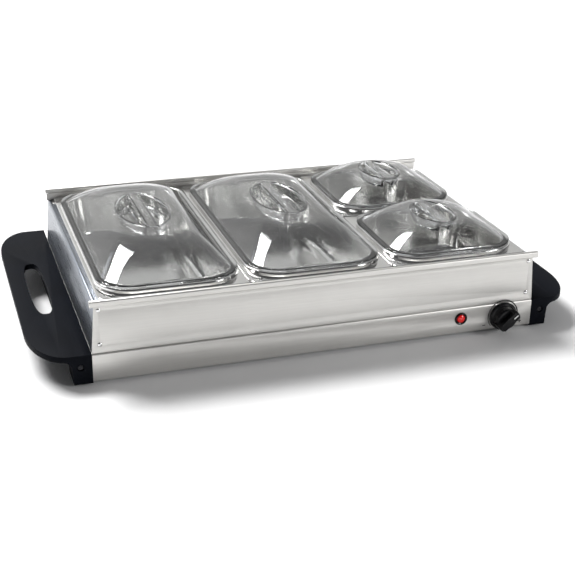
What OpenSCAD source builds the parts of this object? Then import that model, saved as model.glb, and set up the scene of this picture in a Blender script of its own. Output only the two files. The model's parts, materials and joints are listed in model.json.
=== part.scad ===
// Electric buffet server: a low warming tray on rubber feet, a lift-off frame that holds food
// pans over it, and a clear domed lid on each pan.
// Millimetres. Origin at the bottom centre of the whole part, front face towards -Y, +Z up.

/* [Warming tray] */
// Width of the steel tray
tray_w = 500; // [480:5:540]
// Depth of the steel tray, front face to rear face
tray_d = 371; // [365:1:400]
// Height of the tray's top surface above the table
tray_top = 35; // [34:0.5:40]
// Height of the lower edge of the steel faces
face_bottom = 4.5; // [4:0.5:5.5]
// Sheet thickness of the tray and the frame
sheet = 1; // [0.8:0.1:1.2]

/* [End caps] */
// Reach of a carrying handle beyond the steel
wing_reach = 60; // [55:1:70]
// Thickness of the handle plate
wing_t = 6.5; // [5:0.5:8]
// Length of the hand hole
hand_l = 148; // [120:1:160]
// Width of the hand hole
hand_w = 22; // [20:1:25]
// Depth of a foot block, front to rear
foot_d = 32; // [26:1:40]

/* [Buffet frame] */
// Depth of the frame, front face to rear face
frame_d = 334; // [330:1:338]
// Height of the side panels above the tray
side_h = 53; // [50:0.5:56]
// Inward lean of each side panel from bottom to top
side_lean = 4; // [0:0.5:5]
// Height of the front rail's top above the tray
front_rail_top = 59; // [58:0.5:62]
// Height of the rear rail's top above the tray
rear_rail_top = 67; // [64:0.5:72]

/* [Pans and lids] */
// Distance between the centres of two columns of pans
pan_pitch = 160.5; // [158:0.5:160.5]
// Height of the pan flanges above the tray
pan_level = 57; // [56:0.5:58]
// Depth of a pan from its flange to its underside
pan_depth = 53; // [45:0.5:54]
// Height of a large lid above its seat
large_lid_h = 29; // [26:0.5:34]
// Height of a small lid above its seat
small_lid_h = 24; // [22:0.5:30]

/* [Controls] */
// Distance of the knob from the middle of the front face
knob_x = 214.5; // [200:0.5:222]
// Distance of the indicator lamp from the middle of the front face
lamp_x = 162.5; // [150:0.5:175]
// How far the knob stands out from the front face
knob_reach = 20; // [18:0.5:24]
// Diameter of the knob's skirt
knob_d = 33; // [28:0.5:34]

/* [Hidden] */
$fn = 48;
HULL_FN = 32;

// Warming tray places
gland_reach = 4;
y_front = knob_reach - (tray_d + knob_reach + gland_reach) / 2;
y_rear = y_front + tray_d;
y_mid = (y_front + y_rear) / 2;
half_w = tray_w / 2;
bend_r = 2;
flange_w = 12;
plate_gap = 3;
bottom_z = face_bottom - sheet;
foot_h = 2.5;
gland_x = 196;
gland_z = 19;
gland_bore_r = 3.6;
gland_r = 6.3;
screw_hole_r = 1.6;

// End cap places
wing_x = half_w + wing_reach;
wing_corner_x = 37;
wing_corner_y = 70;
web_x = half_w + 13;
web_t = 2.5;
foot_x = half_w + 20.5;
foot_cove_r = 8;
foot_pad_r = 8;
hand_x = half_w + 31;
cap_screw_x = half_w + 12;
cap_screw_z = 21;

// Frame places
fy_front = y_front + 1;
fy_rear = fy_front + frame_d;
fy_mid = (fy_front + fy_rear) / 2;
frame_gap = 0.3;
frame_z = tray_top + frame_gap;
ledge_t = 1;
pan_top = tray_top + pan_level;
pan_lip = 5.5;
ledge_top = pan_top - pan_lip;
ledge_z = ledge_top - ledge_t;
ledge_d = 12;
side_top = tray_top + side_h;
bead_r = 2;
bead_x = half_w - side_lean - bead_r;
ledge_x = bead_x - bead_r - 0.2;
rail_reach = 4;
rail_h = 7;
rail_z = tray_top + front_rail_top - rail_h;
rear_band_h = 5.5;
rear_band_z = tray_top + rear_rail_top - rear_band_h;
tab_w = 15;
rivet_x = half_w - 8.5;
rivet_z = [tray_top + 9.5, tray_top + 47.5];
rivet_r = 1.6;

// Pan and lid places
pan_gap = 1.5;
pan_w = pan_pitch - pan_gap;
large_pan_l = frame_d - 9;
small_pan_l = (large_pan_l - pan_gap) / 2;
small_y = (small_pan_l + pan_gap) / 2;
ring_side = 2.5;
ring_end = 5;
ring_w = 7;
ring_h = 4.5;
ring_r = 40;
pan_corner_r = 6;
well_draft = 5;
seat_z = pan_top + ring_h;
lid_rim_t = 2.5;
lid_wall = 2;
rim_inset = 1;
skirt_h = 3;
skirt_t = 1.4;
skirt_gap = 0.8;
large_grip = [56, 112];
small_grip = [44, 72];
large_crown = [58, 150];
small_crown = [48, 76];
bar_w = 12;
grip_depth = 13;
divider_w = 14;
rib_t = 0.8;
rib_h = 4.5;

// Heater places
heater_x = -25;
heater_w = 380;
heater_l = 240;
under_top = tray_top - sheet;
mica_t = 0.8;
ribbon_t = 0.7;
pad_t = 4;
ribbon_z = under_top - mica_t - ribbon_t;
lower_mica_z = ribbon_z - mica_t;
pad_z = lower_mica_z - pad_t;
clamp_z = pad_z - sheet;
stud_r = 2;
stud_l = 12;

// Controls places
knob_z = tray_top - 15.5;
lamp_z = tray_top - 13;
shaft_r = 3;
bush_r = 4.6;
nut_t = 3;
bracket_t = 1.2;
body_y = y_front + sheet + bracket_t;
// Angle of the knob's pointer clockwise from the top at rest
knob_rest = 50;
skirt_r = knob_d / 2;
tick_w = 1.4;
tick_l = 6;
tick_t = 0.6;
lamp_hole_r = 6;
lens_r = 4.5;

// Wiring places
block_y = y_rear - 62;
block_x = gland_x - 15;
block_w = 34;
block_d = 18;
block_h = 14;
terminals = [for (i = [0 : 2]) block_x + 6 + i * 11];
wire_r = 1.3;
wire_z = face_bottom + 5;
wire_x = heater_x + heater_w / 2 + 12;
cutoff_y = y_front + 97;
tag_x = block_x - 13;
tag_y = block_y + 15;
tag_t = 0.8;

// Colours
steel = [0.80, 0.79, 0.76];
bright = [0.90, 0.90, 0.90];
black = [0.07, 0.07, 0.08];
rubber = [0.12, 0.12, 0.12];
zinc = [0.66, 0.67, 0.68];
brass = [0.80, 0.66, 0.34];
mica = [0.78, 0.73, 0.60];
clear = [0.86, 0.90, 0.92, 0.45];
red = [0.80, 0.08, 0.06];
cream = [0.90, 0.88, 0.80];

// ---------- shared shapes ----------

// A box from its lowest corner to its highest corner
module block(low, high) {
    translate(low) cube(high - low);
}

// A rounded rectangle about the origin, made of true arcs
module rounded_rect(w, l, r) {
    square([w - 2 * r, l], center = true);
    square([w, l - 2 * r], center = true);
    for (sx = [-1, 1], sy = [-1, 1])
        translate([sx * (w / 2 - r), sy * (l / 2 - r)]) circle(r);
}

module rounded_slab(w, l, r, h) {
    linear_extrude(h) rounded_rect(w, l, r);
}

// A frame of constant width that follows a rounded rectangle
module rounded_band(w, l, r, band, h) {
    linear_extrude(h) difference() {
        rounded_rect(w, l, r);
        rounded_rect(w - 2 * band, l - 2 * band, max(r - band, 1));
    }
}

// Loft layers [width, length, corner radius, height] from steps [inset, height]
function inset_layers(w, l, r, steps) =
    [for (s = steps) [w - 2 * s[0], l - 2 * s[0], max(r - s[0], 7), s[1]]];

// A thin slice of a rounded rectangle
module loft_layer(layer) {
    r = layer[2];
    translate([0, 0, layer[3]]) linear_extrude(0.02)
        offset(r = r, $fn = HULL_FN) square([layer[0] - 2 * r, layer[1] - 2 * r], center = true);
}

// A solid through its layers, hulled pair by pair
module lofted(layers) {
    for (i = [1 : len(layers) - 1]) hull() {
        loft_layer(layers[i - 1]);
        loft_layer(layers[i]);
    }
}

// A shape drawn in Y and Z, extruded along X about x = 0
module along_x(length) {
    rotate([90, 0, 90]) linear_extrude(length, center = true) children();
}

// A shape drawn in X and Z, extruded from y towards +Y
module along_y(y, length) {
    translate([0, y + length, 0]) rotate([90, 0, 0]) linear_extrude(length) children();
}

// A cylinder along +Y from a point
module rod_y(p, r, length) {
    translate(p) rotate([-90, 0, 0]) cylinder(r = r, h = length);
}

// A screw pointing up, with its head below the point it clamps
module screw_up(p, head_r, head_h, shank_r, length) {
    translate(p) {
        translate([0, 0, -head_h]) cylinder(r = head_r, h = head_h);
        cylinder(r = shank_r, h = length);
    }
}

function unit(v) = v / norm(v);

// Direction of a route at one of its points, between the stretches that meet there
function route_dir(points, i) =
    unit((i < len(points) - 1 ? unit(points[i + 1] - points[i]) : [0, 0, 0])
        + (i > 0 ? unit(points[i] - points[i - 1]) : [0, 0, 0]));

// Eight-sided wire swept through a route that is never vertical
module wire(points, r, sides = 8) {
    last = len(points) - 1;
    rings = [for (i = [0 : last])
        let (dir = route_dir(points, i), side = unit(cross(dir, [0, 0, 1])), up = cross(side, dir))
        for (k = [0 : sides - 1]) points[i] + r * (cos(360 * k / sides) * side + sin(360 * k / sides) * up)];
    walls = [for (i = [0 : last - 1], k = [0 : sides - 1]) let (n = (k + 1) % sides)
        [i * sides + k, i * sides + n, (i + 1) * sides + n, (i + 1) * sides + k]];
    polyhedron(rings, concat([[for (k = [sides - 1 : -1 : 0]) k]], walls,
        [[for (k = [0 : sides - 1]) last * sides + k]]));
}

// ---------- warming tray ----------

// Tray section in Y and Z: top, front face, rear face and two return flanges
module tray_section() {
    difference() {
        tray_outline(0);
        tray_outline(sheet);
        translate([y_front + flange_w, face_bottom - 1])
            square([tray_d - 2 * flange_w, tray_top / 2]);
    }
}

module tray_outline(inset) {
    r = bend_r - inset / 2;
    top = tray_top - inset;
    low = face_bottom + inset;
    y0 = y_front + inset;
    y1 = y_rear - inset;
    translate([y0, low]) square([y1 - y0, top - low - r]);
    translate([y0 + r, low]) square([y1 - y0 - 2 * r, top - low]);
    for (y = [y0 + r, y1 - r]) translate([y, top - r]) circle(r);
}

module warming_plate() {
    color(steel) difference() {
        along_x(tray_w) tray_section();
        rod_y([knob_x, y_front - 1, knob_z], bush_r + 0.1, 4);
        rod_y([lamp_x, y_front - 1, lamp_z], lamp_hole_r + 0.1, 4);
        rod_y([gland_x, y_rear - 3, gland_z], gland_r + 0.1, 5);
        for (p = bottom_screw_places())
            translate([p.x, p.y, bottom_z - 1]) cylinder(r = screw_hole_r, h = 4);
    }
}

function bottom_screw_places() =
    [for (x = [-200, 0, 160], y = [y_front + 8, y_rear - 8]) [x, y]];

// Rows of vent slots under the heater
module vent_slots() {
    for (row = [-1, 1], i = [-5 : 5])
        translate([heater_x + i * 30, y_mid + row * 90, bottom_z - 1]) {
            for (end = [-1, 1]) translate([0, end * 12, 0]) cylinder(r = 2, h = 4);
            translate([-2, -12, 0]) cube([4, 24, 4]);
        }
}

module bottom_plate() {
    color(zinc) difference() {
        block([-half_w + 1, y_front + plate_gap, bottom_z], [half_w - 1, y_rear - plate_gap, face_bottom]);
        vent_slots();
        for (p = bottom_screw_places())
            translate([p.x, p.y, bottom_z - 1]) cylinder(r = screw_hole_r, h = 4);
    }
}

module bottom_screws() {
    color(zinc) for (p = bottom_screw_places())
        screw_up([p.x, p.y, bottom_z], 3, 1.6, screw_hole_r - 0.05, 8);
}

// ---------- end caps ----------

// Quarter of an ellipse about a centre, from one angle to another
function ellipse_arc(c, a, b, from, to, n) =
    [for (i = [0 : n]) let (t = from + (to - from) * i / n) c + [a * cos(t), b * sin(t)]];

// Plan outline of the right-hand handle plate, with large elliptical corners
function wing_outline() = concat(
    [[half_w, y_front]],
    ellipse_arc([wing_x - wing_corner_x, y_front + wing_corner_y],
        wing_corner_x, wing_corner_y, -90, 0, 14),
    ellipse_arc([wing_x - wing_corner_x, y_rear - wing_corner_y],
        wing_corner_x, wing_corner_y, 0, 90, 14),
    [[half_w, y_rear]]
);

// Plan outline of the hand hole, a long slot with soft ends
function hand_outline(n = 40) = [for (i = [0 : n - 1])
    let (t = 360 * i / n, c = cos(t), s = sin(t))
    [hand_x + sign(c) * hand_w / 2 * pow(abs(c), 0.62), y_mid + sign(s) * hand_l / 2 * pow(abs(s), 0.9)]];

// Foot block section in X and Z, with a cove up to the handle plate
function foot_section() = concat(
    [[half_w, foot_h], [foot_x - 1, foot_h]],
    ellipse_arc([foot_x + foot_cove_r, tray_top - wing_t - foot_cove_r],
        foot_cove_r, foot_cove_r, 180, 90, 8),
    [[wing_x, tray_top - wing_t], [wing_x, tray_top], [half_w, tray_top]]
);

module foot_blocks() {
    intersection() {
        linear_extrude(tray_top) polygon(wing_outline());
        for (y = [y_front, y_rear - foot_d]) along_y(y, foot_d) polygon(foot_section());
    }
}

module end_cap() {
    difference() {
        union() {
            translate([0, 0, tray_top - wing_t]) linear_extrude(wing_t) polygon(wing_outline());
            foot_blocks();
            block([half_w, y_front + 1, foot_h], [half_w + web_t, y_rear - 1, tray_top - 1]);
            block([web_x, y_front + foot_d - 1, foot_h], [web_x + web_t, y_rear - foot_d + 1, tray_top - 1]);
        }
        translate([0, 0, -1]) linear_extrude(tray_top + 2) polygon(hand_outline());
        for (s = [0, 1]) {
            face = s == 0 ? y_front : y_rear;
            mouth = s == 0 ? face - 1 : face - 2.5;
            rod_y([cap_screw_x, mouth, cap_screw_z], 3.6, 3.5);
            rod_y([cap_screw_x, s == 0 ? face : face - 16, cap_screw_z], 1.6, 16);
        }
        for (p = foot_places()) translate([p.x, p.y, foot_h - 1]) cylinder(r = 2.1, h = 6);
    }
}

module end_cap_right() {
    color(black) end_cap();
}

module end_cap_left() {
    color(black) mirror([1, 0, 0]) end_cap();
}

function foot_places() = [for (y = [y_front + 16, y_rear - 16]) [half_w + 10.5, y]];

// Round foot pad with a stud pressed up into the foot block
module foot_pad(side, end) {
    p = foot_places()[end];
    color(rubber) translate([side * p.x, p.y, 0]) {
        cylinder(r1 = foot_pad_r - 0.8, r2 = foot_pad_r, h = 1);
        translate([0, 0, 1]) cylinder(r = foot_pad_r, h = foot_h - 1);
        cylinder(r = 2, h = foot_h + 4);
    }
}

module foot_front_left() { foot_pad(-1, 0); }
module foot_front_right() { foot_pad(1, 0); }
module foot_rear_left() { foot_pad(-1, 1); }
module foot_rear_right() { foot_pad(1, 1); }

// One screw at the bottom of the recess in each foot block
module cap_screws() {
    color(zinc) for (side = [-1, 1]) {
        rod_y([side * cap_screw_x, y_front + 0.8, cap_screw_z], 2.8, 1.7);
        rod_y([side * cap_screw_x, y_front + 2, cap_screw_z], 1.5, 12);
        rod_y([side * cap_screw_x, y_rear - 2.5, cap_screw_z], 2.8, 1.7);
        rod_y([side * cap_screw_x, y_rear - 14, cap_screw_z], 1.5, 12);
    }
}

// ---------- heater ----------

function stud_places() = [for (x = [-176, 0, 176], y = [-108, 108]) [heater_x + x, y_mid + y]];

module heater_sheet(z, t, w, l) {
    difference() {
        translate([heater_x - w / 2, y_mid - l / 2, z]) cube([w, l, t]);
        for (p = stud_places()) translate([p.x, p.y, z - 1]) cylinder(r = stud_r + 0.3, h = t + 2);
    }
}

module upper_mica() {
    color(mica) heater_sheet(under_top - mica_t, mica_t, heater_w, heater_l);
}

module lower_mica() {
    color(mica) heater_sheet(lower_mica_z, mica_t, heater_w, heater_l);
}

module insulation_pad() {
    color(cream) heater_sheet(pad_z, pad_t, heater_w - 4, heater_l - 4);
}

// Clamp plate with two stiffening lips turned down
module heater_clamp_plate() {
    lip = 4;
    color(zinc) {
        heater_sheet(clamp_z, sheet, heater_w + 6, heater_l + 6);
        for (side = [-1, 1]) translate([heater_x - heater_w / 2, y_mid + side * (heater_l / 2 + 2.5) - 0.5,
            clamp_z - lip]) cube([heater_w, 1, lip]);
    }
}

// Flat resistance ribbon that runs back and forth between the mica sheets
module heating_ribbon() {
    rows = 9;
    row_pitch = 22;
    ribbon_w = 4;
    run = heater_w - 70;
    y0 = y_mid - row_pitch * (rows - 1) / 2;
    color(bright) translate([heater_x, 0, ribbon_z]) {
        for (i = [0 : rows - 1]) translate([-run / 2, y0 + i * row_pitch - ribbon_w / 2, 0])
            cube([run, ribbon_w, ribbon_t]);
        for (i = [0 : rows - 2]) {
            x = i % 2 == 0 ? run / 2 - ribbon_w : -run / 2;
            translate([x, y0 + i * row_pitch, 0]) cube([ribbon_w, row_pitch, ribbon_t]);
        }
    }
}

module heater_studs() {
    color(zinc) for (p = stud_places())
        translate([p.x, p.y, under_top - stud_l]) cylinder(r = stud_r, h = stud_l);
}

module heater_nuts() {
    color(zinc) for (p = stud_places()) translate([p.x, p.y, clamp_z - 3.2]) difference() {
        cylinder(r = 4, h = 3.2, $fn = 6);
        translate([0, 0, -1]) cylinder(r = stud_r + 0.02, h = 6, $fn = 48);
    }
}

// ---------- thermostat and knob ----------

module thermostat_bracket() {
    color(zinc) difference() {
        block([knob_x - 15, y_front + sheet, knob_z - 11], [knob_x + 15, body_y, knob_z + 11]);
        rod_y([knob_x, y_front, knob_z], bush_r + 0.1, 5);
    }
}

// Phenolic body with a threaded bush through the front face and two terminals behind
module thermostat_body() {
    color(cream) difference() {
        union() {
            block([knob_x - 12, body_y, knob_z - 10], [knob_x + 12, body_y + 18, knob_z + 10]);
            rod_y([knob_x, y_front - nut_t - 1, knob_z], bush_r, 12);
            for (side = [-1, 1]) block([knob_x + side * 7 - 2.5, body_y + 18, knob_z - 3],
                [knob_x + side * 7 + 2.5, body_y + 25, knob_z - 2]);
        }
        rod_y([knob_x, y_front - 6, knob_z], shaft_r + 0.05, 16);
    }
}

module thermostat_nut() {
    color(zinc) rotate_nut() difference() {
        cylinder(r = 7, h = nut_t - 0.2, $fn = 6);
        translate([0, 0, -1]) cylinder(r = bush_r + 0.02, h = nut_t + 2, $fn = 48);
    }
}

module rotate_nut() {
    translate([knob_x, y_front - 0.1, knob_z]) rotate([90, 0, 0]) children();
}

// Round shaft with a flat where the knob grips it
module thermostat_shaft() {
    color(zinc) difference() {
        rod_y([knob_x, y_front - knob_reach + 5, knob_z], shaft_r, knob_reach + 3);
        block([knob_x - 4, y_front - knob_reach + 4, knob_z + 1.8], [knob_x + 4, y_front - 5.5, knob_z + 4]);
    }
}

// Skirt and body turned about the shaft axis, with a straight grip bar across the front
module knob() {
    crown = 13;
    bar_low = 4;
    bar = [9, knob_d - 5, knob_reach - bar_low];
    skirt = [[0, 0.6], [skirt_r - 0.6, 0.6], [skirt_r, 1.2], [skirt_r, 3], [skirt_r - 1, 4],
        [skirt_r - 3, 4.5], [skirt_r - 4, crown - 1.5], [skirt_r - 5.5, crown], [0, crown]];
    bar_side = [[0, 0], [skirt_r - 2, 0], [skirt_r - 2.5, knob_reach - 3],
        [skirt_r - 4.5, knob_reach], [0, knob_reach]];
    color(black) translate([knob_x, y_front, knob_z]) rotate([90, 0, 0]) difference() {
        union() {
            rotate_extrude() polygon(skirt);
            rotate([0, 0, -knob_rest]) intersection() {
                translate([-bar.x / 2, -bar.y / 2, bar_low]) cube(bar);
                rotate_extrude() polygon(bar_side);
            }
        }
        translate([0, 0, -1]) cylinder(r = 8.4, h = 6.2);
        cylinder(r = shaft_r + 0.05, h = knob_reach - 4.5);
        pointer_tick(2);
    }
}

// The inlaid pointer, near the rim of the grip bar
module pointer_tick(depth) {
    rotate([0, 0, -knob_rest]) translate([-tick_w / 2, skirt_r - 5 - tick_l, knob_reach - tick_t])
        cube([tick_w, tick_l, depth]);
}

module knob_pointer() {
    color("white") translate([knob_x, y_front, knob_z]) rotate([90, 0, 0]) pointer_tick(tick_t);
}

// Leaf spring on the shaft's flat
module knob_grip_spring() {
    color(bright)
        block([knob_x - 1.5, y_front - 13, knob_z + 1.9], [knob_x + 1.5, y_front - 6, knob_z + 2.5]);
}

// Printed scale: a wedge arc that widens from low to high, with a minus and a plus
module heat_scale() {
    r = skirt_r + 1.4;
    low = 232;
    high = 128;
    steps = 30;
    scale_t = 0.2;
    mark = [22.5, -9.5];
    stroke = [3.6, 0.8];
    arc = [for (i = [0 : steps]) low + (360 + high - low) * i / steps];
    inner = [for (a = arc) r * [sin(a), cos(a)]];
    outer = [for (i = [steps : -1 : 0]) (r + 0.5 + 1.2 * i / steps) * [sin(arc[i]), cos(arc[i])]];
    color(black) along_y(y_front - scale_t, scale_t) translate([knob_x, knob_z]) {
        polygon(concat(inner, outer));
        for (side = [-1, 1]) translate([side * mark.x, mark.y]) square(stroke, center = true);
        translate(mark) square([stroke.y, stroke.x], center = true);
    }
}

// ---------- indicator lamp ----------

module lamp_bezel() {
    bore = lens_r + 0.1;
    collar = [[bore, -10], [lamp_hole_r, -10], [lamp_hole_r, 0], [7.4, 0], [7.2, 1], [6.2, 1.8],
        [5.4, 1.2], [bore, 0.8]];
    color(black) translate([lamp_x, y_front, lamp_z]) rotate([90, 0, 0])
        rotate_extrude() polygon(collar);
}

module lamp_lens() {
    dome = [[0, -1], [lens_r, -1], [lens_r, 0.8], [3.9, 1.5], [2.6, 2], [1.2, 2.3], [0, 2.4]];
    color(red) translate([lamp_x, y_front, lamp_z]) rotate([90, 0, 0])
        rotate_extrude() polygon(dome);
}

module neon_tube() {
    color("orange") rod_y([lamp_x, y_front + 2, lamp_z], 2.4, 12);
}

module lamp_clip() {
    color(bright) difference() {
        rod_y([lamp_x, y_front + sheet, lamp_z], 8, 1.2);
        rod_y([lamp_x, y_front, lamp_z], lamp_hole_r + 0.05, 4);
    }
}

// ---------- wiring ----------

module terminal_block() {
    color(cream) difference() {
        translate([block_x, block_y, face_bottom]) cube([block_w, block_d, block_h]);
        for (x = terminals) {
            translate([x, block_y + block_d / 2, face_bottom + 8]) cylinder(r = 2.6, h = 8);
            rod_y([x, block_y - 1, wire_z], wire_r + 0.2, block_d + 2);
        }
    }
}

module terminal_screws() {
    color(brass) for (x = terminals)
        translate([x, block_y + block_d / 2, face_bottom + 8]) cylinder(r = 2.5, h = 5);
}

module live_wire() {
    color("brown") wire([[terminals[1], block_y - 0.5, wire_z], [terminals[1], y_mid, wire_z],
        [knob_x + 7, y_front + 60, wire_z], [knob_x + 7, y_front + 30, knob_z - 6]], wire_r);
}

module neutral_wire() {
    color("blue") wire([[terminals[0], block_y - 0.5, wire_z], [terminals[0], y_mid + 20, wire_z],
        [wire_x - 4, y_mid - 20, wire_z]], wire_r);
}

module heater_wire() {
    color("brown") wire([[knob_x - 7, y_front + 30, knob_z - 6], [knob_x - 7, y_front + 42, wire_z],
        [wire_x, y_front + 70, wire_z], [wire_x, cutoff_y - 1, wire_z]], wire_r);
}

module lamp_wires() {
    color("gray") for (side = [-1, 1])
        wire([[lamp_x + side * 1.2, y_front + 14.5, lamp_z], [lamp_x + side * 1.2, y_front + 26, lamp_z],
            [lamp_x + side * 4, y_front + 44, wire_z]], 0.8);
}

module thermal_cutoff() {
    color(bright) rod_y([wire_x, cutoff_y, wire_z], 2.2, 14);
}

module earth_tag() {
    color(bright) difference() {
        translate([tag_x - 5, tag_y - 11, face_bottom]) cube([10, 16, tag_t]);
        translate([tag_x, tag_y, face_bottom - 1]) cylinder(r = 2.05, h = 4);
    }
}

module earth_screw() {
    color(brass) translate([tag_x, tag_y, face_bottom]) {
        cylinder(r = 2, h = 4);
        translate([0, 0, tag_t]) cylinder(r = 4, h = 2.4);
    }
}

// Bush with an outer flange and an inner lip that holds it in the rear face
module cord_gland() {
    color(black) translate([gland_x, y_rear, gland_z]) rotate([-90, 0, 0]) difference() {
        union() {
            translate([0, 0, -sheet - 7]) cylinder(r = gland_r, h = sheet + 8);
            cylinder(r1 = 9, r2 = 8, h = gland_reach);
            translate([0, 0, -sheet - 3]) cylinder(r = gland_r + 1.2, h = 3);
        }
        translate([0, 0, -sheet - 8]) cylinder(r = gland_bore_r, h = 20);
    }
}

// ---------- buffet frame ----------

// A panel that narrows towards its top, drawn in X and Z
module tapered_panel(y, top) {
    lean = side_lean * (top - frame_z) / side_h;
    along_y(y, sheet)
        polygon([[-half_w, frame_z], [half_w, frame_z], [half_w - lean, top], [-half_w + lean, top]]);
}

// Hollow rolled edge along X, between two corners in Y and Z
module rolled_edge(y0, z0, y1, z1, length) {
    r = 1.6;
    centre = [(y0 + y1) / 2, (z0 + z1) / 2];
    along_x(length) translate(centre) difference() {
        rounded_rect(y1 - y0, z1 - z0, r);
        rounded_rect(y1 - y0 - 2 * sheet, z1 - z0 - 2 * sheet, r - sheet / 2);
    }
}

module rivet_holes(y) {
    for (side = [-1, 1], z = rivet_z) rod_y([side * rivet_x, y - 1, z], rivet_r, 4);
}

module front_panel() {
    inner = fy_front + sheet;
    color(steel) difference() {
        union() {
            tapered_panel(fy_front, rail_z + 1);
            rolled_edge(fy_front - rail_reach, rail_z, inner, rail_z + rail_h, tray_w + 1);
            block([-ledge_x, inner - 0.5, ledge_z], [ledge_x, inner + ledge_d, ledge_top]);
        }
        rivet_holes(fy_front);
    }
}

// Rear panel, with a plain band above the pans and a rolled edge on top of it
module rear_panel() {
    inner = fy_rear - sheet;
    color(steel) difference() {
        union() {
            tapered_panel(inner, rear_band_z + 1);
            rolled_edge(inner - 1.5, rear_band_z, fy_rear + 2, rear_band_z + rear_band_h, tray_w - 3);
            block([-half_w + 2.5, inner - 0.8, side_top], [half_w - 2.5, inner + 0.5, rear_band_z - 0.6]);
            block([-ledge_x, inner - ledge_d, ledge_z], [ledge_x, inner + 0.5, ledge_top]);
        }
        rivet_holes(inner);
    }
}

// Leaning panel with a rolled bead, a ledge for the pans and a riveted tab at each end
module side_panel() {
    y0 = fy_front + sheet;
    length = frame_d - 2 * sheet;
    top = side_top - bead_r;
    lean = side_lean * (top - frame_z) / side_h;
    difference() {
        union() {
            along_y(y0, length) {
                polygon([[half_w - sheet, frame_z], [half_w, frame_z], [half_w - lean, top],
                    [half_w - lean - sheet, top]]);
                translate([bead_x, top]) circle(bead_r);
            }
            block([bead_x - 10, y0 + ledge_d + 0.2, ledge_z],
                [bead_x, y0 + length - ledge_d - 0.2, ledge_top]);
            for (y = [y0, y0 + length - sheet])
                along_y(y, sheet) polygon([[half_w - tab_w, frame_z + 1], [half_w - 0.5, frame_z + 1],
                    [half_w - side_lean - 0.5, ledge_z - 0.2], [half_w - tab_w, ledge_z - 0.2]]);
        }
        for (z = rivet_z) {
            rod_y([rivet_x, y0 - 1, z], rivet_r, 4);
            rod_y([rivet_x, y0 + length - 3, z], rivet_r, 4);
        }
    }
}

module side_panel_right() {
    color(steel) side_panel();
}

module side_panel_left() {
    color(steel) mirror([1, 0, 0]) side_panel();
}

// T-section bar along Y that carries the edges of two columns of pans
module divider(x) {
    y0 = fy_front + sheet + ledge_d + 0.2;
    y1 = fy_rear - sheet - ledge_d - 0.2;
    tab = 6;
    color(bright) {
        block([x - divider_w / 2, y0, ledge_z], [x + divider_w / 2, y1, ledge_top]);
        block([x - rib_t / 2, y0, ledge_top - 0.5], [x + rib_t / 2, y1, ledge_top + rib_h]);
        block([x - 4, y0 - tab, ledge_z - sheet], [x + 4, y1 + tab, ledge_z]);
    }
}

module divider_left() { divider(-pan_pitch / 2); }
module divider_right() { divider(pan_pitch / 2); }

// Short T-section bar along X between the two small pans
module cross_bar() {
    x0 = pan_pitch / 2 + divider_w / 2 + 0.2;
    x1 = bead_x - 10.2;
    color(bright) {
        block([x0, fy_mid - divider_w / 2, ledge_z], [x1, fy_mid + divider_w / 2, ledge_top]);
        block([x0, fy_mid - rib_t / 2, ledge_top - 0.5], [x1, fy_mid + rib_t / 2, ledge_top + rib_h]);
        block([x0 - 2.5, fy_mid - 4, ledge_z - sheet], [x1 + 6, fy_mid + 4, ledge_z]);
    }
}

// Domed rivets through the front and rear panels and the side panels' tabs
module frame_rivets() {
    head_h = 1.1;
    color(bright) for (side = [-1, 1], z = rivet_z, end = [0, 1]) {
        face = end == 0 ? fy_front : fy_rear;
        translate([side * rivet_x, face, z]) rotate([end == 0 ? 90 : -90, 0, 0]) {
            rotate_extrude() polygon([[0, 0], [2.5, 0], [2.3, 0.5], [1.6, 0.9], [0, head_h]]);
            translate([0, 0, -2 * sheet]) cylinder(r = rivet_r - 0.02, h = 2 * sheet);
            translate([0, 0, -2 * sheet - 0.8]) cylinder(r = 2.2, h = 0.8);
        }
    }
}

// ---------- food pans ----------

// Drawn steel pan: flange with a turned-down edge, raised lid seat and a deep well
module pan(centre_x, centre_y, length) {
    seat_w = pan_w - 2 * ring_side;
    seat_l = length - 2 * ring_end;
    mouth_w = seat_w - 2 * ring_w;
    mouth_l = seat_l - 2 * ring_w;
    mouth_r = ring_r - ring_w;
    floor_z = -pan_depth;
    outer_wall = [[0, -0.1], [well_draft, floor_z + 8], [well_draft + 0.8, floor_z + 5],
        [well_draft + 2.4, floor_z + 2], [well_draft + 5, floor_z + 0.4], [well_draft + 8, floor_z]];
    inner_wall = [[0, ring_h + 1], [0, -0.5], [well_draft, floor_z + 9], [well_draft + 0.9, floor_z + 5.6],
        [well_draft + 2.6, floor_z + 3], [well_draft + 5, floor_z + 1.5], [well_draft + 8, floor_z + 1.1]];
    color(bright) translate([centre_x, centre_y, pan_top]) difference() {
        union() {
            translate([0, 0, -sheet]) rounded_slab(pan_w, length, pan_corner_r, sheet);
            translate([0, 0, -pan_lip]) rounded_band(pan_w, length, pan_corner_r, sheet, pan_lip);
            rounded_band(seat_w, seat_l, ring_r, ring_w, ring_h);
            lofted(inset_layers(mouth_w + 2 * sheet, mouth_l + 2 * sheet, mouth_r + sheet, outer_wall));
        }
        lofted(inset_layers(mouth_w, mouth_l, mouth_r, inner_wall));
    }
}

module pan_large_left() { pan(-pan_pitch, fy_mid, large_pan_l); }
module pan_large_middle() { pan(0, fy_mid, large_pan_l); }
module pan_small_rear() { pan(pan_pitch, fy_mid + small_y, small_pan_l); }
module pan_small_front() { pan(pan_pitch, fy_mid - small_y, small_pan_l); }

// ---------- lids ----------

function ellipse(a, b, n = 40) = [for (i = [0 : n - 1]) [a * cos(360 * i / n), b * sin(360 * i / n)]];

// The two half-moon finger recesses, one each side of the grip bar
module grip_recesses(grip, spread, low, high) {
    translate([0, 0, low]) linear_extrude(high - low) difference() {
        polygon(ellipse(grip.x / 2 + spread, grip.y / 2 + spread));
        square([bar_w - 2 * spread, grip.y + 20], center = true);
    }
}

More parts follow.
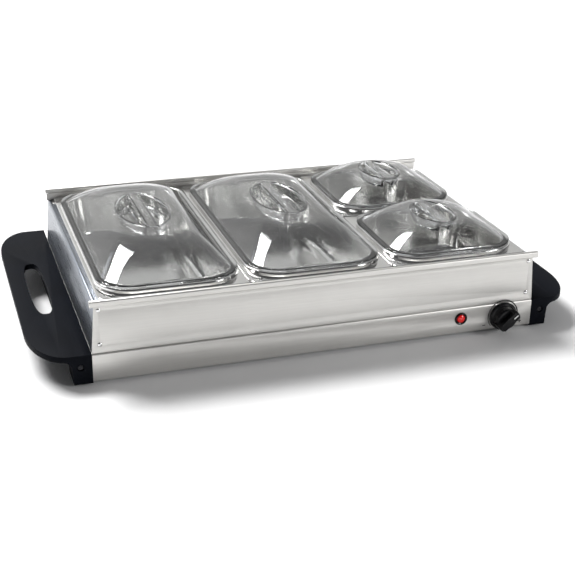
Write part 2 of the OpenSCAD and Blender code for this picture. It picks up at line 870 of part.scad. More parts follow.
// Layers of a dome that rises as a quarter wave from its base to a flat crown
function dome_layers(base, base_r, crown, height) = [for (t = [0, 0.1, 0.25, 0.45, 0.7, 1])
    [base.x + (crown.x - base.x) * t, base.y + (crown.y - base.y) * t,
    base_r + (crown.x / 2 - 1 - base_r) * t, height * sin(90 * t)]];

// Clear moulded lid: flat rim, locating skirt, dome with an oval grip sunk into its top
module lid(centre_x, centre_y, pan_length, height, grip, crown) {
    rim = [pan_w - 2 * ring_side - 2 * rim_inset, pan_length - 2 * ring_end - 2 * rim_inset];
    base = [rim.x - 2 * (ring_w - rim_inset), rim.y - 2 * (ring_w - rim_inset)];
    base_r = ring_r - ring_w;
    wall = [2 * lid_wall, 2 * lid_wall];
    dome_h = height - lid_rim_t - 0.05;
    recess_z = height - grip_depth;
    color(clear) translate([centre_x, centre_y, seat_z]) {
        difference() {
            union() {
                rounded_slab(rim.x, rim.y, ring_r - rim_inset, lid_rim_t);
                translate([0, 0, lid_rim_t]) lofted(dome_layers(base, base_r, crown, dome_h));
            }
            difference() {
                translate([0, 0, lid_rim_t - lid_wall])
                    lofted(dome_layers(base - wall, base_r - lid_wall, crown - wall, dome_h));
                grip_recesses(grip, lid_wall, recess_z - lid_wall, height);
            }
            translate([0, 0, -1]) rounded_slab(base.x - 2 * lid_wall, base.y - 2 * lid_wall,
                base_r - lid_wall, lid_rim_t - lid_wall + 1.1);
            grip_recesses(grip, 0, recess_z, height + 1);
        }
        translate([0, 0, -skirt_h]) rounded_band(base.x - 2 * skirt_gap, base.y - 2 * skirt_gap,
            base_r - skirt_gap, skirt_t, skirt_h + 0.5);
    }
}

module large_lid(x) { lid(x, fy_mid, large_pan_l, large_lid_h, large_grip, large_crown); }
module small_lid(y) { lid(pan_pitch, y, small_pan_l, small_lid_h, small_grip, small_crown); }
module lid_large_left() { large_lid(-pan_pitch); }
module lid_large_middle() { large_lid(0); }
module lid_small_rear() { small_lid(fy_mid + small_y); }
module lid_small_front() { small_lid(fy_mid - small_y); }

// ---------- one line for each node ----------

warming_plate();
bottom_plate();
end_cap_left();
end_cap_right();
foot_front_left();
foot_front_right();
foot_rear_left();
foot_rear_right();
cap_screws();
bottom_screws();
upper_mica();
heating_ribbon();
lower_mica();
insulation_pad();
heater_clamp_plate();
heater_studs();
heater_nuts();
thermostat_body();
thermostat_bracket();
thermostat_nut();
thermostat_shaft();
knob();
knob_pointer();
knob_grip_spring();
heat_scale();
lamp_bezel();
lamp_lens();
neon_tube();
lamp_clip();
terminal_block();
terminal_screws();
thermal_cutoff();
earth_tag();
earth_screw();
live_wire();
neutral_wire();
heater_wire();
lamp_wires();
cord_gland();
front_panel();
rear_panel();
side_panel_left();
side_panel_right();
divider_left();
divider_right();
cross_bar();
frame_rivets();
pan_large_left();
pan_large_middle();
pan_small_rear();
pan_small_front();
lid_large_left();
lid_large_middle();
lid_small_rear();
lid_small_front();
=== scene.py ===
"""Looks of an electric buffet server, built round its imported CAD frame.

Metres, in the CAD's own frame: origin at the bottom centre, front face towards -Y, +Z up.
"""
import json
import math

import bmesh
import bpy
import numpy as np
from mathutils import Matrix, Vector


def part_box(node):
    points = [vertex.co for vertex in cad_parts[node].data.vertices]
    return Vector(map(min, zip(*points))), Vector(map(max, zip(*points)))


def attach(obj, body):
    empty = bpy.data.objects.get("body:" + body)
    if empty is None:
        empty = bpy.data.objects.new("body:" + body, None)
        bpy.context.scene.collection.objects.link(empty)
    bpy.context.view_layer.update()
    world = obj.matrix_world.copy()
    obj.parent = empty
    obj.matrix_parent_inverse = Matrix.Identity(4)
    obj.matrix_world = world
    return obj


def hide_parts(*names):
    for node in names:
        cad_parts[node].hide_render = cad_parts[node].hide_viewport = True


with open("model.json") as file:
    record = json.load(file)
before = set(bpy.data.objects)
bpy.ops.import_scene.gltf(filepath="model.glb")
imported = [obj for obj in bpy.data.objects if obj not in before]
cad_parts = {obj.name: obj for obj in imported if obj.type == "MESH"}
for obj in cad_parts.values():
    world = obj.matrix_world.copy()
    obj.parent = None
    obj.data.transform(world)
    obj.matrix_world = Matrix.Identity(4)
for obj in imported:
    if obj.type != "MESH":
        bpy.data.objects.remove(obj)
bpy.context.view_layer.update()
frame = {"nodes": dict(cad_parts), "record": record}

MM = 0.001
SLOT_OF = {p["node"]: p["material_slot"] for p in frame["record"]["subparts"]}
BODY_OF = {n: b for b, nodes in frame["record"]["behaviour"]["bodies"].items() for n in nodes}


# ---------- node helpers for materials ----------

class Shader:
    """A Principled material with short calls for its procedural nodes."""

    def __init__(self, name, color, roughness, metallic=0.0, **sockets):
        self.mat = bpy.data.materials.new(name)
        self.mat.use_nodes = True
        self.nodes = self.mat.node_tree.nodes
        self.links = self.mat.node_tree.links
        self.bsdf = self.nodes["Principled BSDF"]
        self.set("Base Color", (*color, 1))
        self.set("Roughness", roughness)
        self.set("Metallic", metallic)
        for key, value in sockets.items():
            self.set(key.replace("_", " "), value)
        self.position = self.nodes.new("ShaderNodeTexCoord").outputs["Object"]

    def set(self, socket, value):
        self.bsdf.inputs[socket].default_value = value

    def link(self, out, socket):
        self.links.new(out, self.bsdf.inputs[socket])

    def stretched(self, scale):
        node = self.nodes.new("ShaderNodeMapping")
        node.inputs["Scale"].default_value = scale
        self.links.new(self.position, node.inputs["Vector"])
        return node.outputs["Vector"]

    def noise(self, scale, vector=None, detail=4.0, rough=0.6):
        node = self.nodes.new("ShaderNodeTexNoise")
        node.inputs["Scale"].default_value = scale
        node.inputs["Detail"].default_value = detail
        node.inputs["Roughness"].default_value = rough
        self.links.new(vector or self.position, node.inputs["Vector"])
        return node.outputs["Fac"]

    def voronoi(self, scale):
        node = self.nodes.new("ShaderNodeTexVoronoi")
        node.inputs["Scale"].default_value = scale
        self.links.new(self.position, node.inputs["Vector"])
        return node.outputs["Distance"]

    def ramp(self, fac, low, high, lo_pos=0.35, hi_pos=0.65):
        node = self.nodes.new("ShaderNodeValToRGB")
        node.color_ramp.elements[0].position = lo_pos
        node.color_ramp.elements[1].position = hi_pos
        node.color_ramp.elements[0].color = (*low, 1)
        node.color_ramp.elements[1].color = (*high, 1)
        self.links.new(fac, node.inputs["Fac"])
        return node.outputs["Color"]

    def between(self, fac, low, high):
        node = self.nodes.new("ShaderNodeMapRange")
        node.inputs["From Min"].default_value = 0.3
        node.inputs["From Max"].default_value = 0.7
        node.inputs["To Min"].default_value = low
        node.inputs["To Max"].default_value = high
        self.links.new(fac, node.inputs["Value"])
        return node.outputs["Result"]

    def mixed(self, a, b, fac=0.5):
        node = self.nodes.new("ShaderNodeMix")
        node.data_type = "FLOAT"
        node.inputs["Factor"].default_value = fac
        self.links.new(a, node.inputs["A"])
        self.links.new(b, node.inputs["B"])
        return node.outputs["Result"]

    def bump(self, height, strength, distance):
        node = self.nodes.new("ShaderNodeBump")
        node.inputs["Strength"].default_value = strength
        node.inputs["Distance"].default_value = distance
        self.links.new(height, node.inputs["Height"])
        self.link(node.outputs["Normal"], "Normal")


def gray(v, tint=(1.0, 1.0, 1.0)):
    return tuple(v * t for t in tint)


WARM = (1.0, 0.985, 0.95)
# Blue cast for the side panels' steel: painted reflection of the dark studio and the black end caps.
COOL_PAINTED_REFLECTION = (0.90, 0.97, 1.10)


def brushed(name, level, roughness, along, tint=WARM, streak=0.06):
    """Brushed sheet steel with its grain along X or Y."""
    s = Shader(name, gray(level, tint), roughness, metallic=0.82)
    coarse_scale = (9, 420, 420) if along == "x" else (420, 9, 420)
    fine_scale = (30, 2200, 2200) if along == "x" else (2200, 30, 2200)
    coarse = s.noise(1.0, s.stretched(coarse_scale))
    fine = s.noise(1.0, s.stretched(fine_scale))
    grain = s.mixed(coarse, fine, 0.5)
    cloud = s.noise(14.0, detail=3.0)
    dark = gray(level - streak, tint)
    pale = gray(level + streak * 0.6, tint)
    s.link(s.ramp(s.mixed(grain, cloud, 0.35), dark, pale), "Base Color")
    s.link(s.between(grain, roughness - 0.06, roughness + 0.08), "Roughness")
    s.bump(grain, 0.25, 0.00006)
    return s.mat


def polished(name, level, roughness, tint=(1, 1, 1)):
    """Drawn and polished steel with faint wipe marks and hairline scratches."""
    s = Shader(name, gray(level, tint), roughness, metallic=1.0)
    smudge = s.noise(22.0, detail=5.0)
    hair = s.noise(1.0, s.stretched((60, 900, 300)), detail=2.0)
    s.link(s.ramp(smudge, gray(level - 0.03, tint), gray(level + 0.02, tint)), "Base Color")
    s.link(s.between(s.mixed(smudge, hair, 0.4), roughness * 0.6, roughness * 1.7), "Roughness")
    s.bump(s.mixed(smudge, hair, 0.5), 0.08, 0.0001)
    return s.mat


def moulded(name, color, roughness, grain=0.12, coat=0.0, shine=0.5):
    """Moulded plastic with a fine spark-eroded grain and a little unevenness."""
    s = Shader(name, color, roughness, Coat_Weight=coat, Coat_Roughness=0.1, Specular_IOR_Level=shine)
    pores = s.noise(2600.0, detail=2.0)
    haze = s.noise(18.0, detail=4.0)
    s.link(s.ramp(haze, gray(0.82, color), gray(1.2, color)), "Base Color")
    s.link(s.between(s.mixed(haze, pores, 0.4), roughness - 0.07, roughness + 0.09), "Roughness")
    s.bump(pores, grain, 0.00012)
    return s.mat


def clear_plastic(name):
    """Clear polycarbonate with the faintest grey tint and soft handling marks."""
    s = Shader(name, (0.985, 0.992, 0.995), 0.02, Transmission_Weight=1.0, IOR=1.5)
    marks = s.noise(30.0, detail=6.0)
    s.link(s.between(marks, 0.0, 0.03), "Roughness")
    s.bump(s.noise(9.0, detail=1.0), 0.03, 0.001)
    return s.mat


def tinted_lens(name, color):
    """Moulded coloured lens with a prismatic inner pattern."""
    s = Shader(name, color, 0.08, Transmission_Weight=0.35, IOR=1.49, Coat_Weight=0.6, Coat_Roughness=0.04)
    s.link(s.ramp(s.noise(260.0, detail=2.0), gray(0.75, color), gray(1.15, color)), "Base Color")
    s.set("Emission Color", (*color, 1))
    s.set("Emission Strength", 0.35)
    s.bump(s.voronoi(900.0), 0.35, 0.0003)
    return s.mat


def felted(name, color):
    """Needled glass fibre."""
    s = Shader(name, color, 0.95, Sheen_Weight=0.3)
    fibres = s.noise(1.0, s.stretched((300, 1400, 500)), detail=6.0)
    s.link(s.ramp(fibres, gray(0.8, color), color), "Base Color")
    s.bump(fibres, 0.7, 0.0006)
    return s.mat


def flaked(name, color):
    """Pressed mica board with its flakes showing."""
    s = Shader(name, color, 0.55)
    s.link(s.ramp(s.voronoi(160.0), gray(0.7, color), color, 0.1, 0.6), "Base Color")
    s.link(s.between(s.noise(90.0), 0.35, 0.7), "Roughness")
    s.bump(s.voronoi(160.0), 0.2, 0.0002)
    return s.mat


def plated(name, color, roughness):
    """Zinc, brass or alloy with a cloudy plated finish."""
    s = Shader(name, color, roughness, metallic=1.0)
    cloud = s.noise(120.0, detail=5.0)
    s.link(s.ramp(cloud, gray(0.85, color), gray(1.05, color)), "Base Color")
    s.link(s.between(cloud, roughness - 0.08, roughness + 0.1), "Roughness")
    s.bump(s.noise(700.0), 0.1, 0.0001)
    return s.mat


BLACK = (0.006, 0.007, 0.010)
MATERIALS = {
    "brushed_tray": brushed("brushed_tray", 0.72, 0.42, "x"),
    "frame_steel": brushed("frame_steel", 0.70, 0.42, "x"),
    # The frame's brushed steel painted darker and bluer for the side panels: painted reflection and shade,
    # since these panels face away from the light.
    "side_steel_painted_reflection": brushed("side_steel_painted_reflection", 0.30, 0.28, "y", tint=COOL_PAINTED_REFLECTION),
    "bright_steel": polished("bright_steel", 0.82, 0.12),
    "pan_steel": polished("pan_steel", 0.80, 0.14, tint=(1.0, 0.995, 0.98)),
    "zinc_steel": plated("zinc_steel", (0.60, 0.61, 0.62), 0.42),
    "black_plastic": moulded("black_plastic", BLACK, 0.5, shine=0.03),
    "knob_plastic": moulded("knob_plastic", (0.004, 0.004, 0.005), 0.26, grain=0.03, coat=0.12, shine=0.25),
    "foot_rubber": moulded("foot_rubber", (0.02, 0.02, 0.02), 0.8, grain=0.3),
    "clear_plastic": clear_plastic("clear_plastic"),
    "red_lens": tinted_lens("red_lens", (0.62, 0.012, 0.01)),
    "neon_glass": tinted_lens("neon_glass", (0.8, 0.25, 0.05)),
    "white_print": moulded("white_print", (0.82, 0.82, 0.80), 0.5, grain=0.05),
    "black_print": moulded("black_print", (0.02, 0.02, 0.02), 0.6, grain=0.05),
    "mica_board": flaked("mica_board", (0.55, 0.46, 0.30)),
    "glass_fibre": felted("glass_fibre", (0.80, 0.78, 0.68)),
    "ribbon_alloy": plated("ribbon_alloy", (0.45, 0.42, 0.38), 0.5),
    "phenolic": moulded("phenolic", (0.62, 0.56, 0.42), 0.5),
    "dark_screw": plated("dark_screw", (0.05, 0.05, 0.055), 0.5),
    "brass_parts": plated("brass_parts", (0.78, 0.57, 0.24), 0.3),
    "brown_insulation": moulded("brown_insulation", (0.12, 0.045, 0.02), 0.55),
    "blue_insulation": moulded("blue_insulation", (0.02, 0.06, 0.30), 0.55),
    "grey_insulation": moulded("grey_insulation", (0.30, 0.30, 0.30), 0.55),
}


# ---------- mesh helpers ----------

def paint(piece, material):
    piece.data.materials.clear()
    piece.data.materials.append(MATERIALS[material])


def smooth(mesh, angle):
    mesh.shade_smooth()
    mesh.set_sharp_from_angle(angle=math.radians(angle))


def evaluated(piece):
    """Applies a piece's modifiers to its mesh."""
    graph = bpy.context.evaluated_depsgraph_get()
    mesh = bpy.data.meshes.new_from_object(piece.evaluated_get(graph))
    piece.modifiers.clear()
    piece.data = mesh
    return piece


def new_piece(name, mesh, body, slot, *nodes):
    """A shown piece that rides on a body, takes a record slot and stands for CAD nodes."""
    piece = bpy.data.objects.new(name, mesh)
    bpy.context.scene.collection.objects.link(piece)
    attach(piece, body)
    paint(piece, slot)
    if nodes:
        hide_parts(*nodes)
    return piece


def softened(node, width, segments=2, angle=28, material=None):
    """The CAD node's own shape with its hard edges rounded over."""
    mesh = frame["nodes"][node].data.copy()
    bm = bmesh.new()
    bm.from_mesh(mesh)
    bmesh.ops.remove_doubles(bm, verts=bm.verts, dist=2e-6)
    bmesh.ops.dissolve_limit(bm, angle_limit=math.radians(1.0), verts=bm.verts, edges=bm.edges)
    bm.to_mesh(mesh)
    bm.free()
    mesh.shade_smooth()
    piece = new_piece(node + "_shape", mesh, BODY_OF[node], SLOT_OF[node], node)
    bevel = piece.modifiers.new("soft_edges", "BEVEL")
    bevel.width = width
    bevel.segments = segments
    bevel.limit_method = "ANGLE"
    bevel.angle_limit = math.radians(angle)
    bevel.harden_normals = False
    evaluated(piece)
    smooth(piece.data, 35)
    paint(piece, material or SLOT_OF[node])
    return piece


def rounded_outline(w, l, r, per_corner=14, per_side=9):
    """Points round a rounded rectangle about the origin, with the same count for every size."""
    points = []
    x, y = w / 2 - r, l / 2 - r
    centres = [(x, y), (-x, y), (-x, -y), (x, -y)]
    for k, (cx, cy) in enumerate(centres):
        start = k * math.pi / 2
        arc = [(cx + r * math.cos(start + a), cy + r * math.sin(start + a))
               for a in np.linspace(0, math.pi / 2, per_corner + 1)]
        points += arc
        nx, ny = centres[(k + 1) % 4]
        end = start + math.pi / 2
        tx, ty = nx + r * math.cos(end), ny + r * math.sin(end)
        ax, ay = arc[-1]
        for t in np.linspace(0, 1, per_side + 2)[1:-1]:
            points.append((ax + (tx - ax) * t, ay + (ty - ay) * t))
    return np.array(points)


def skin(name, rings, cap_first=False, cap_last=True):
    """A mesh of quads through rings of points, with its open ends capped where asked."""
    n = len(rings[0])
    verts = np.concatenate(rings)
    faces = []
    for i in range(len(rings) - 1):
        for k in range(n):
            m = (k + 1) % n
            faces.append((i * n + k, i * n + m, (i + 1) * n + m, (i + 1) * n + k))
    if cap_first:
        faces.append(tuple(range(n - 1, -1, -1)))
    if cap_last:
        last = (len(rings) - 1) * n
        faces.append(tuple(last + k for k in range(n)))
    mesh = bpy.data.meshes.new(name)
    mesh.from_pydata(verts.tolist(), [], faces)
    bm = bmesh.new()
    bm.from_mesh(mesh)
    bmesh.ops.recalc_face_normals(bm, faces=bm.faces)
    bm.to_mesh(mesh)
    bm.free()
    return mesh


# ---------- food pans ----------

RING_SIDE, RING_END, RING_W, RING_R = 2.5 * MM, 5 * MM, 7 * MM, 40 * MM
RING_H = 4.5 * MM
FLANGE_R = 6 * MM
LIP = 5.5 * MM
WELL_DRAFT = 5 * MM
FLOOR_ROUND = 9 * MM
FLOOR_DROP = 8.2 * MM
FLOOR_REACH = 8 * MM


def place(outline, z, cx, cy):
    return np.column_stack([outline[:, 0] + cx, outline[:, 1] + cy, np.full(len(outline), z)])


def pan(node):
    """Drawn pan: turned-down lip, flange, raised seat, drafted well and a stamped floor."""
    low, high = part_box(node)
    w, l = high.x - low.x, high.y - low.y
    cx, cy = (low.x + high.x) / 2, (low.y + high.y) / 2
    top = high.z - RING_H
    depth = top - low.z
    seat_w, seat_l = w - 2 * RING_SIDE, l - 2 * RING_END

    def flange(inset, z):
        return place(rounded_outline(w - 2 * inset, l - 2 * inset, FLANGE_R - inset), top + z, cx, cy)

    def seat(inset, z):
        r = max(RING_R - inset, 12 * MM)
        return place(rounded_outline(seat_w - 2 * inset, seat_l - 2 * inset, r), top + z, cx, cy)

    rings = [flange(0.05 * MM, -LIP + 0.1 * MM), flange(0.05 * MM, -3 * MM)]
    for a in np.radians([0, 22, 45, 68, 90]):
        rings.append(flange(1.5 * MM * (1 - math.cos(a)) + 0.05 * MM, -1.5 * MM * (1 - math.sin(a))))
    rings += [flange(2.1 * MM, 0), seat(-0.15 * MM, 0)]
    for a in np.radians([0, 20, 40, 60, 80, 90]):
        rings.append(seat(0.4 * MM + 1.8 * MM * (1 - math.cos(a)), 2.4 * MM + 1.9 * MM * math.sin(a)))
    rings.append(seat(4.6 * MM, 4.3 * MM))
    for a in np.radians([90, 65, 40, 20, 0]):
        rings.append(seat(5.2 * MM + 1.7 * MM * math.cos(a), 2.6 * MM + 1.7 * MM * math.sin(a)))
    wall_low = FLOOR_ROUND - depth
    for t in (0.03, 0.2, 0.4, 0.6, 0.8, 0.95, 1.0):
        rings.append(seat(RING_W + WELL_DRAFT * t, wall_low * t))
    for a in np.radians([15, 32, 50, 68, 90]):
        inset = RING_W + WELL_DRAFT + FLOOR_REACH * (1 - math.cos(a))
        rings.append(seat(inset, wall_low - FLOOR_DROP * math.sin(a)))
    floor = wall_low - FLOOR_DROP
    stamp = [(23, 0), (26, 0), (27.5, 0.5), (29, 0.9), (32, 0.9), (42, 0.9)]
    rings += [seat(i * MM, floor + z * MM) for i, z in stamp]
    mesh = skin(node, rings)
    piece = new_piece(node + "_shape", mesh, BODY_OF[node], "pan_steel", node)
    sheet = piece.modifiers.new("sheet", "SOLIDIFY")
    sheet.thickness = 0.7 * MM
    sheet.offset = -1
    evaluated(piece)
    smooth(piece.data, 40)
    paint(piece, "pan_steel")
    return piece


# ---------- clear lids ----------

LID_RIM_T, LID_WALL, BAR_HALF = 2.5 * MM, 2.0 * MM, 6 * MM
RIM_W = RING_W - 1 * MM
RIM_R = RING_R - 1 * MM
GRIP_DEPTH = 11.8 * MM
SKIRT_H = 3 * MM
LIP_H = 0.5 * MM
BULGE = 0.4 * MM


def soft_step(x, width):
    t = np.clip(x / width, 0, 1)
    return t * t * (3 - 2 * t)


def grip_relief(x, y, a, b, wall):
    """Height added by the sunken half-moons and the fine raised line round the oval."""
    rho = np.sqrt((x / a) ** 2 + (y / b) ** 2)
    inside = (1 - rho) * (a + b) / 2
    sunk = soft_step(inside + wall, 6.5 * MM) * soft_step(np.abs(x) - BAR_HALF + wall, 2.4 * MM)
    raised = 0 if wall else LIP_H * np.exp(-((inside + 0.8 * MM) / (0.8 * MM)) ** 2)
    return raised - GRIP_DEPTH * sunk


def lid(node, grip, crown):
    """One clear moulding: rim, locating skirt, dome and sunken oval grip with a bridge bar."""
    low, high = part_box(node)
    w, l = high.x - low.x, high.y - low.y
    cx, cy = (low.x + high.x) / 2, (low.y + high.y) / 2
    seat = low.z + SKIRT_H
    rise = high.z - seat - LID_RIM_T - LIP_H - BULGE - 0.05 * MM
    a, b = grip[0] / 2, grip[1] / 2

    def outline(width, length, r):
        return rounded_outline(width, length, r, 26, 36)

    def flat(inset, z):
        return place(outline(w - 2 * inset, l - 2 * inset, RIM_R - inset), seat + z, cx, cy)

    def surface(x, y, z, wall):
        near = np.clip(1 - (x / crown[0] * 2) ** 2, 0, 1)
        z = z + BULGE * near + grip_relief(x, y, a, b, wall)
        return np.column_stack([x + cx, y + cy, seat + z])

    def dome(wall):
        """Rings from the rim to the crown, on to the oval, down to the bar and up to its middle."""
        start = (w - 2 * RIM_W - 2 * wall, l - 2 * RIM_W - 2 * wall, RIM_R - RIM_W - wall)
        end = (crown[0] + wall, crown[1] + wall, (crown[0] + wall) / 2 - 1 * MM)
        top = LID_RIM_T + rise - wall
        rings = []
        for t in np.linspace(0.004, 1, 30) ** 1.25:
            size = [p + (q - p) * t for p, q in zip(start, end)]
            pts = outline(*size)
            z = LID_RIM_T - wall + rise * math.sin(t * math.pi / 2)
            rings.append(surface(pts[:, 0], pts[:, 1], z, wall))
        theta = np.arctan2(pts[:, 1] / end[1], pts[:, 0] / end[0])
        ex, ey = (a + wall) * np.cos(theta), (b + wall) * np.sin(theta)
        px, py = pts[:, 0], pts[:, 1]
        for t in (0.25, 0.5, 0.7, 0.82, 0.9, 0.95):
            rings.append(surface(px + (ex - px) * t, py + (ey - py) * t, top, wall))
        half = BAR_HALF - wall
        bar = np.sign(ex) * np.minimum(np.abs(ex), half)
        rim_steps = np.linspace(0, 0.42, 15)
        floor_steps = np.linspace(0.47, 0.8, 6)
        bar_steps = np.linspace(0.84, 1, 11)
        for t in np.concatenate([rim_steps, floor_steps, bar_steps]):
            rings.append(surface(ex + (bar - ex) * t, ey, top, wall))
        for t in (0.25, 0.5, 0.75, 1.0):
            rings.append(surface(bar * (1 - t), ey, top, wall))
        return rings

    root = RIM_W / MM
    rim = [(root, 0.35), (root - 0.5, 0.06), (root - 1.2, 0), (1.1, 0), (0.4, -0.2), (0.04, -0.8),
           (0.04, -1.8), (0.4, -2.38), (1.1, -2.44), (6.4, -2.44)]
    skirt = [(6.8, -2.8), (6.85, -4.9), (7.1, -5.35), (7.6, -5.4), (8, -5.0), (8.1, -2.3)]
    edge = [flat(inset * MM, LID_RIM_T + z * MM) for inset, z in rim + skirt]
    rings = dome(0)[::-1] + edge + dome(LID_WALL)
    mesh = skin(node, rings, cap_last=False)
    bm = bmesh.new()
    bm.from_mesh(mesh)
    bmesh.ops.remove_doubles(bm, verts=bm.verts, dist=1e-5)
    bmesh.ops.dissolve_degenerate(bm, edges=bm.edges, dist=1e-6)
    bmesh.ops.recalc_face_normals(bm, faces=bm.faces)
    bm.to_mesh(mesh)
    bm.free()
    piece = new_piece(node + "_shape", mesh, BODY_OF[node], "clear_plastic", node)
    smooth(piece.data, 60)
    return piece


# ---------- fasteners ----------

def cross_screw(at, axis, head_r, head_h, shank_r, length):
    """Pan-head screw with a cross recess, as bmesh geometry about +Z, turned to its axis."""
    bm = bmesh.new()
    n = 32
    turns = [2 * math.pi * k / n for k in range(n)]
    rings = []

    def add_ring(radii, z):
        rings.append([bm.verts.new((r * math.cos(t), r * math.sin(t), z)) for r, t in zip(radii, turns)])

    arms = [max(abs(math.cos(t)), abs(math.sin(t))) ** 10 for t in turns]
    recess = [head_r * (0.16 + 0.42 * arm) for arm in arms]
    for depth in (0.55, 0.1):
        add_ring(recess, -depth * head_h)
    for share, depth in ((0.62, 0.0), (0.9, 0.18), (1.0, 0.45), (1.0, 1.0)):
        add_ring([share * head_r] * n, -depth * head_h)
    tip = -head_h - length
    for r, z in ((shank_r, -head_h), (shank_r, tip + length * 0.1), (shank_r * 0.5, tip)):
        add_ring([r] * n, z)
    for i in range(len(rings) - 1):
        for k in range(n):
            m = (k + 1) % n
            bm.faces.new((rings[i][k], rings[i][m], rings[i + 1][m], rings[i + 1][k]))
    bm.faces.new(rings[0])
    bm.faces.new(rings[-1][::-1])
    bmesh.ops.recalc_face_normals(bm, faces=bm.faces)
    turn = Vector((0, 0, 1)).rotation_difference(Vector(axis)).to_matrix().to_4x4()
    bmesh.ops.transform(bm, matrix=Matrix.Translation(at) @ turn, verts=bm.verts)
    return bm


def joined(name, parts, body, slot, *nodes):
    """One piece from several bmesh parts."""
    mesh = bpy.data.meshes.new(name)
    whole = bmesh.new()
    for part in parts:
        temp = bpy.data.meshes.new("temp")
        part.to_mesh(temp)
        part.free()
        whole.from_mesh(temp)
        bpy.data.meshes.remove(temp)
    whole.to_mesh(mesh)
    whole.free()
    smooth(mesh, 35)
    return new_piece(name, mesh, body, slot, *nodes)


# ---------- camera, light and floor ----------

CAMERA_AT = Vector((-0.403, -1.2465, 0.572))
YAW, PITCH, ROLL = math.radians(18.62), math.radians(23.38), math.radians(1.08)
LENS_MM, SENSOR_MM = 73.56, 36.0


def add_camera():
    ahead = Vector((math.sin(YAW) * math.cos(PITCH), math.cos(YAW) * math.cos(PITCH), -math.sin(PITCH)))
    right = Vector((math.cos(YAW), -math.sin(YAW), 0))
    up = right.cross(ahead)
    right_r = right * math.cos(ROLL) + up * math.sin(ROLL)
    up_r = up * math.cos(ROLL) - right * math.sin(ROLL)
    camera = bpy.data.objects.new("camera", bpy.data.cameras.new("camera"))
    camera.data.lens = LENS_MM
    camera.data.sensor_width = SENSOR_MM
    camera.data.clip_end = 50
    turn = Matrix((right_r, up_r, -ahead)).transposed().to_4x4()
    camera.matrix_world = Matrix.Translation(CAMERA_AT) @ turn
    bpy.context.scene.collection.objects.link(camera)
    bpy.context.scene.camera = camera


def add_softbox(name, at, target, size, power, color=(1, 1, 1)):
    light = bpy.data.lights.new(name, "AREA")
    light.shape = "RECTANGLE"
    light.size, light.size_y = size
    light.energy = power
    light.color = color
    obj = bpy.data.objects.new(name, light)
    obj.location = at
    obj.rotation_euler = (Vector(target) - Vector(at)).to_track_quat("-Z", "Y").to_euler()
    bpy.context.scene.collection.objects.link(obj)


def add_world():
    """A dark studio with a pale wall behind the object."""
    world = bpy.data.worlds.new("studio")
    world.use_nodes = True
    nodes, links = world.node_tree.nodes, world.node_tree.links
    coords = nodes.new("ShaderNodeTexCoord")
    split = nodes.new("ShaderNodeSeparateXYZ")
    ramp = nodes.new("ShaderNodeValToRGB")
    ramp.color_ramp.elements[0].position = 0.0
    ramp.color_ramp.elements[0].color = (0.10, 0.10, 0.105, 1)
    ramp.color_ramp.elements[1].position = 1.0
    ramp.color_ramp.elements[1].color = (0.85, 0.85, 0.84, 1)
    links.new(coords.outputs["Generated"], split.inputs["Vector"])
    links.new(split.outputs["Y"], ramp.inputs["Fac"])
    links.new(ramp.outputs["Color"], nodes["Background"].inputs["Color"])
    nodes["Background"].inputs["Strength"].default_value = 0.8
    bpy.context.scene.world = world


STAGE_HALF = 9.0


def floor_paint():
    """Matt pale paint with a barely visible unevenness."""
    s = Shader("floor_paint", (0.93, 0.93, 0.93), 0.9)
    s.link(s.ramp(s.noise(3.0, detail=3.0), gray(0.92), gray(0.94)), "Base Color")
    s.bump(s.noise(400.0, detail=2.0), 0.05, 0.0002)
    return s.mat


def add_stage():
    bpy.context.scene.view_settings.view_transform = "Standard"
    mesh = bpy.data.meshes.new("floor")
    r = STAGE_HALF
    mesh.from_pydata([(-r, -r, 0), (r, -r, 0), (r, r, 0), (-r, r, 0)], [], [(0, 1, 2, 3)])
    floor = bpy.data.objects.new("floor", mesh)
    bpy.context.scene.collection.objects.link(floor)
    mesh.materials.append(floor_paint())

    add_softbox("key_behind", (-2.0, 3.1, 4.6), (0, 0, 0), (3.0, 2.2), 500)
    add_softbox("front_right", (2.4, -2.4, 1.3), (0.1, 0, 0.05), (1.3, 1.0), 46)
    add_softbox("window_left", (-1.5, 2.1, 1.3), (0, 0, 0.1), (0.5, 0.7), 1.6, (0.90, 0.94, 1.0))


# ---------- the object ----------

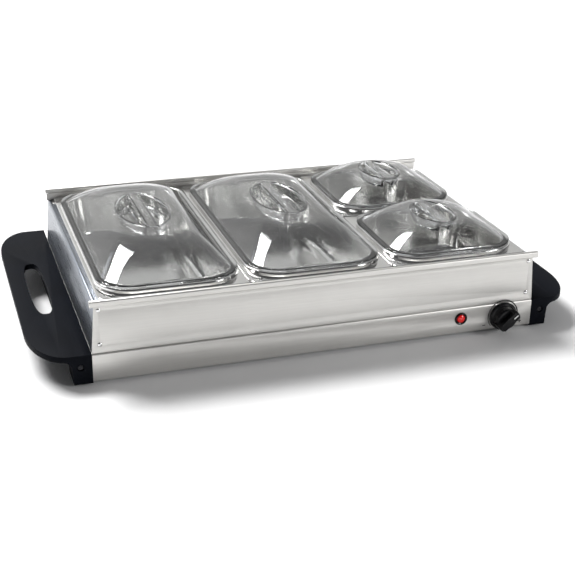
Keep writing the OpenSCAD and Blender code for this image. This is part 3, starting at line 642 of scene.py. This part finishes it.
LARGE_GRIP, LARGE_CROWN = (56 * MM, 112 * MM), (58 * MM, 150 * MM)
SMALL_GRIP, SMALL_CROWN = (44 * MM, 72 * MM), (48 * MM, 76 * MM)
SCREW_HEAD_R, SCREW_HEAD_H = 2.8 * MM, 1.6 * MM
SCREW_SHANK_R, SCREW_LENGTH = 1.5 * MM, 11 * MM


def show_cad_nodes():
    """Gives every node that stays visible its slot's material."""
    for node, cad in frame["nodes"].items():
        cad.data.materials.clear()
        cad.data.materials.append(MATERIALS[SLOT_OF[node]])


def build_tray_and_frame():
    for node in ("end_cap_left", "end_cap_right"):
        softened(node, 1.3 * MM, segments=3)
    for node in ("front_panel", "rear_panel", "warming_plate"):
        softened(node, 0.3 * MM)
    # The side panels take the darker, bluer copy of the frame steel, which carries painted reflection and
    # shade.
    for node in ("side_panel_left", "side_panel_right"):
        softened(node, 0.3 * MM, material="side_steel_painted_reflection")
    for node in ("divider_left", "divider_right", "cross_bar"):
        softened(node, 0.25 * MM)
    softened("knob", 0.35 * MM, segments=3)
    for node in ("lamp_bezel", "lamp_lens", "frame_rivets", "cord_gland"):
        softened(node, 0.15 * MM, angle=45)
    for node in ("foot_front_left", "foot_front_right", "foot_rear_left", "foot_rear_right"):
        softened(node, 0.3 * MM)


def build_pans_and_lids():
    for node in ("pan_large_left", "pan_large_middle", "pan_small_rear", "pan_small_front"):
        pan(node)
    for node in ("lid_large_left", "lid_large_middle"):
        lid(node, LARGE_GRIP, LARGE_CROWN)
    for node in ("lid_small_rear", "lid_small_front"):
        lid(node, SMALL_GRIP, SMALL_CROWN)


def build_cap_screws():
    low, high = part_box("cap_screws")
    x = high.x - SCREW_HEAD_R
    z = (low.z + high.z) / 2
    parts = []
    for side in (-1, 1):
        for y, axis in ((low.y, (0, -1, 0)), (high.y, (0, 1, 0))):
            at = (side * x, y, z)
            parts.append(cross_screw(at, axis, SCREW_HEAD_R, SCREW_HEAD_H, SCREW_SHANK_R, SCREW_LENGTH))
    screws = joined("cap_screws_shape", parts, "tray", "zinc_steel", "cap_screws")
    # The screws are painted near-black, darker than the zinc of their slot.
    paint(screws, "dark_screw")


add_camera()
add_world()
add_stage()
show_cad_nodes()
build_tray_and_frame()
build_pans_and_lids()
build_cap_screws()
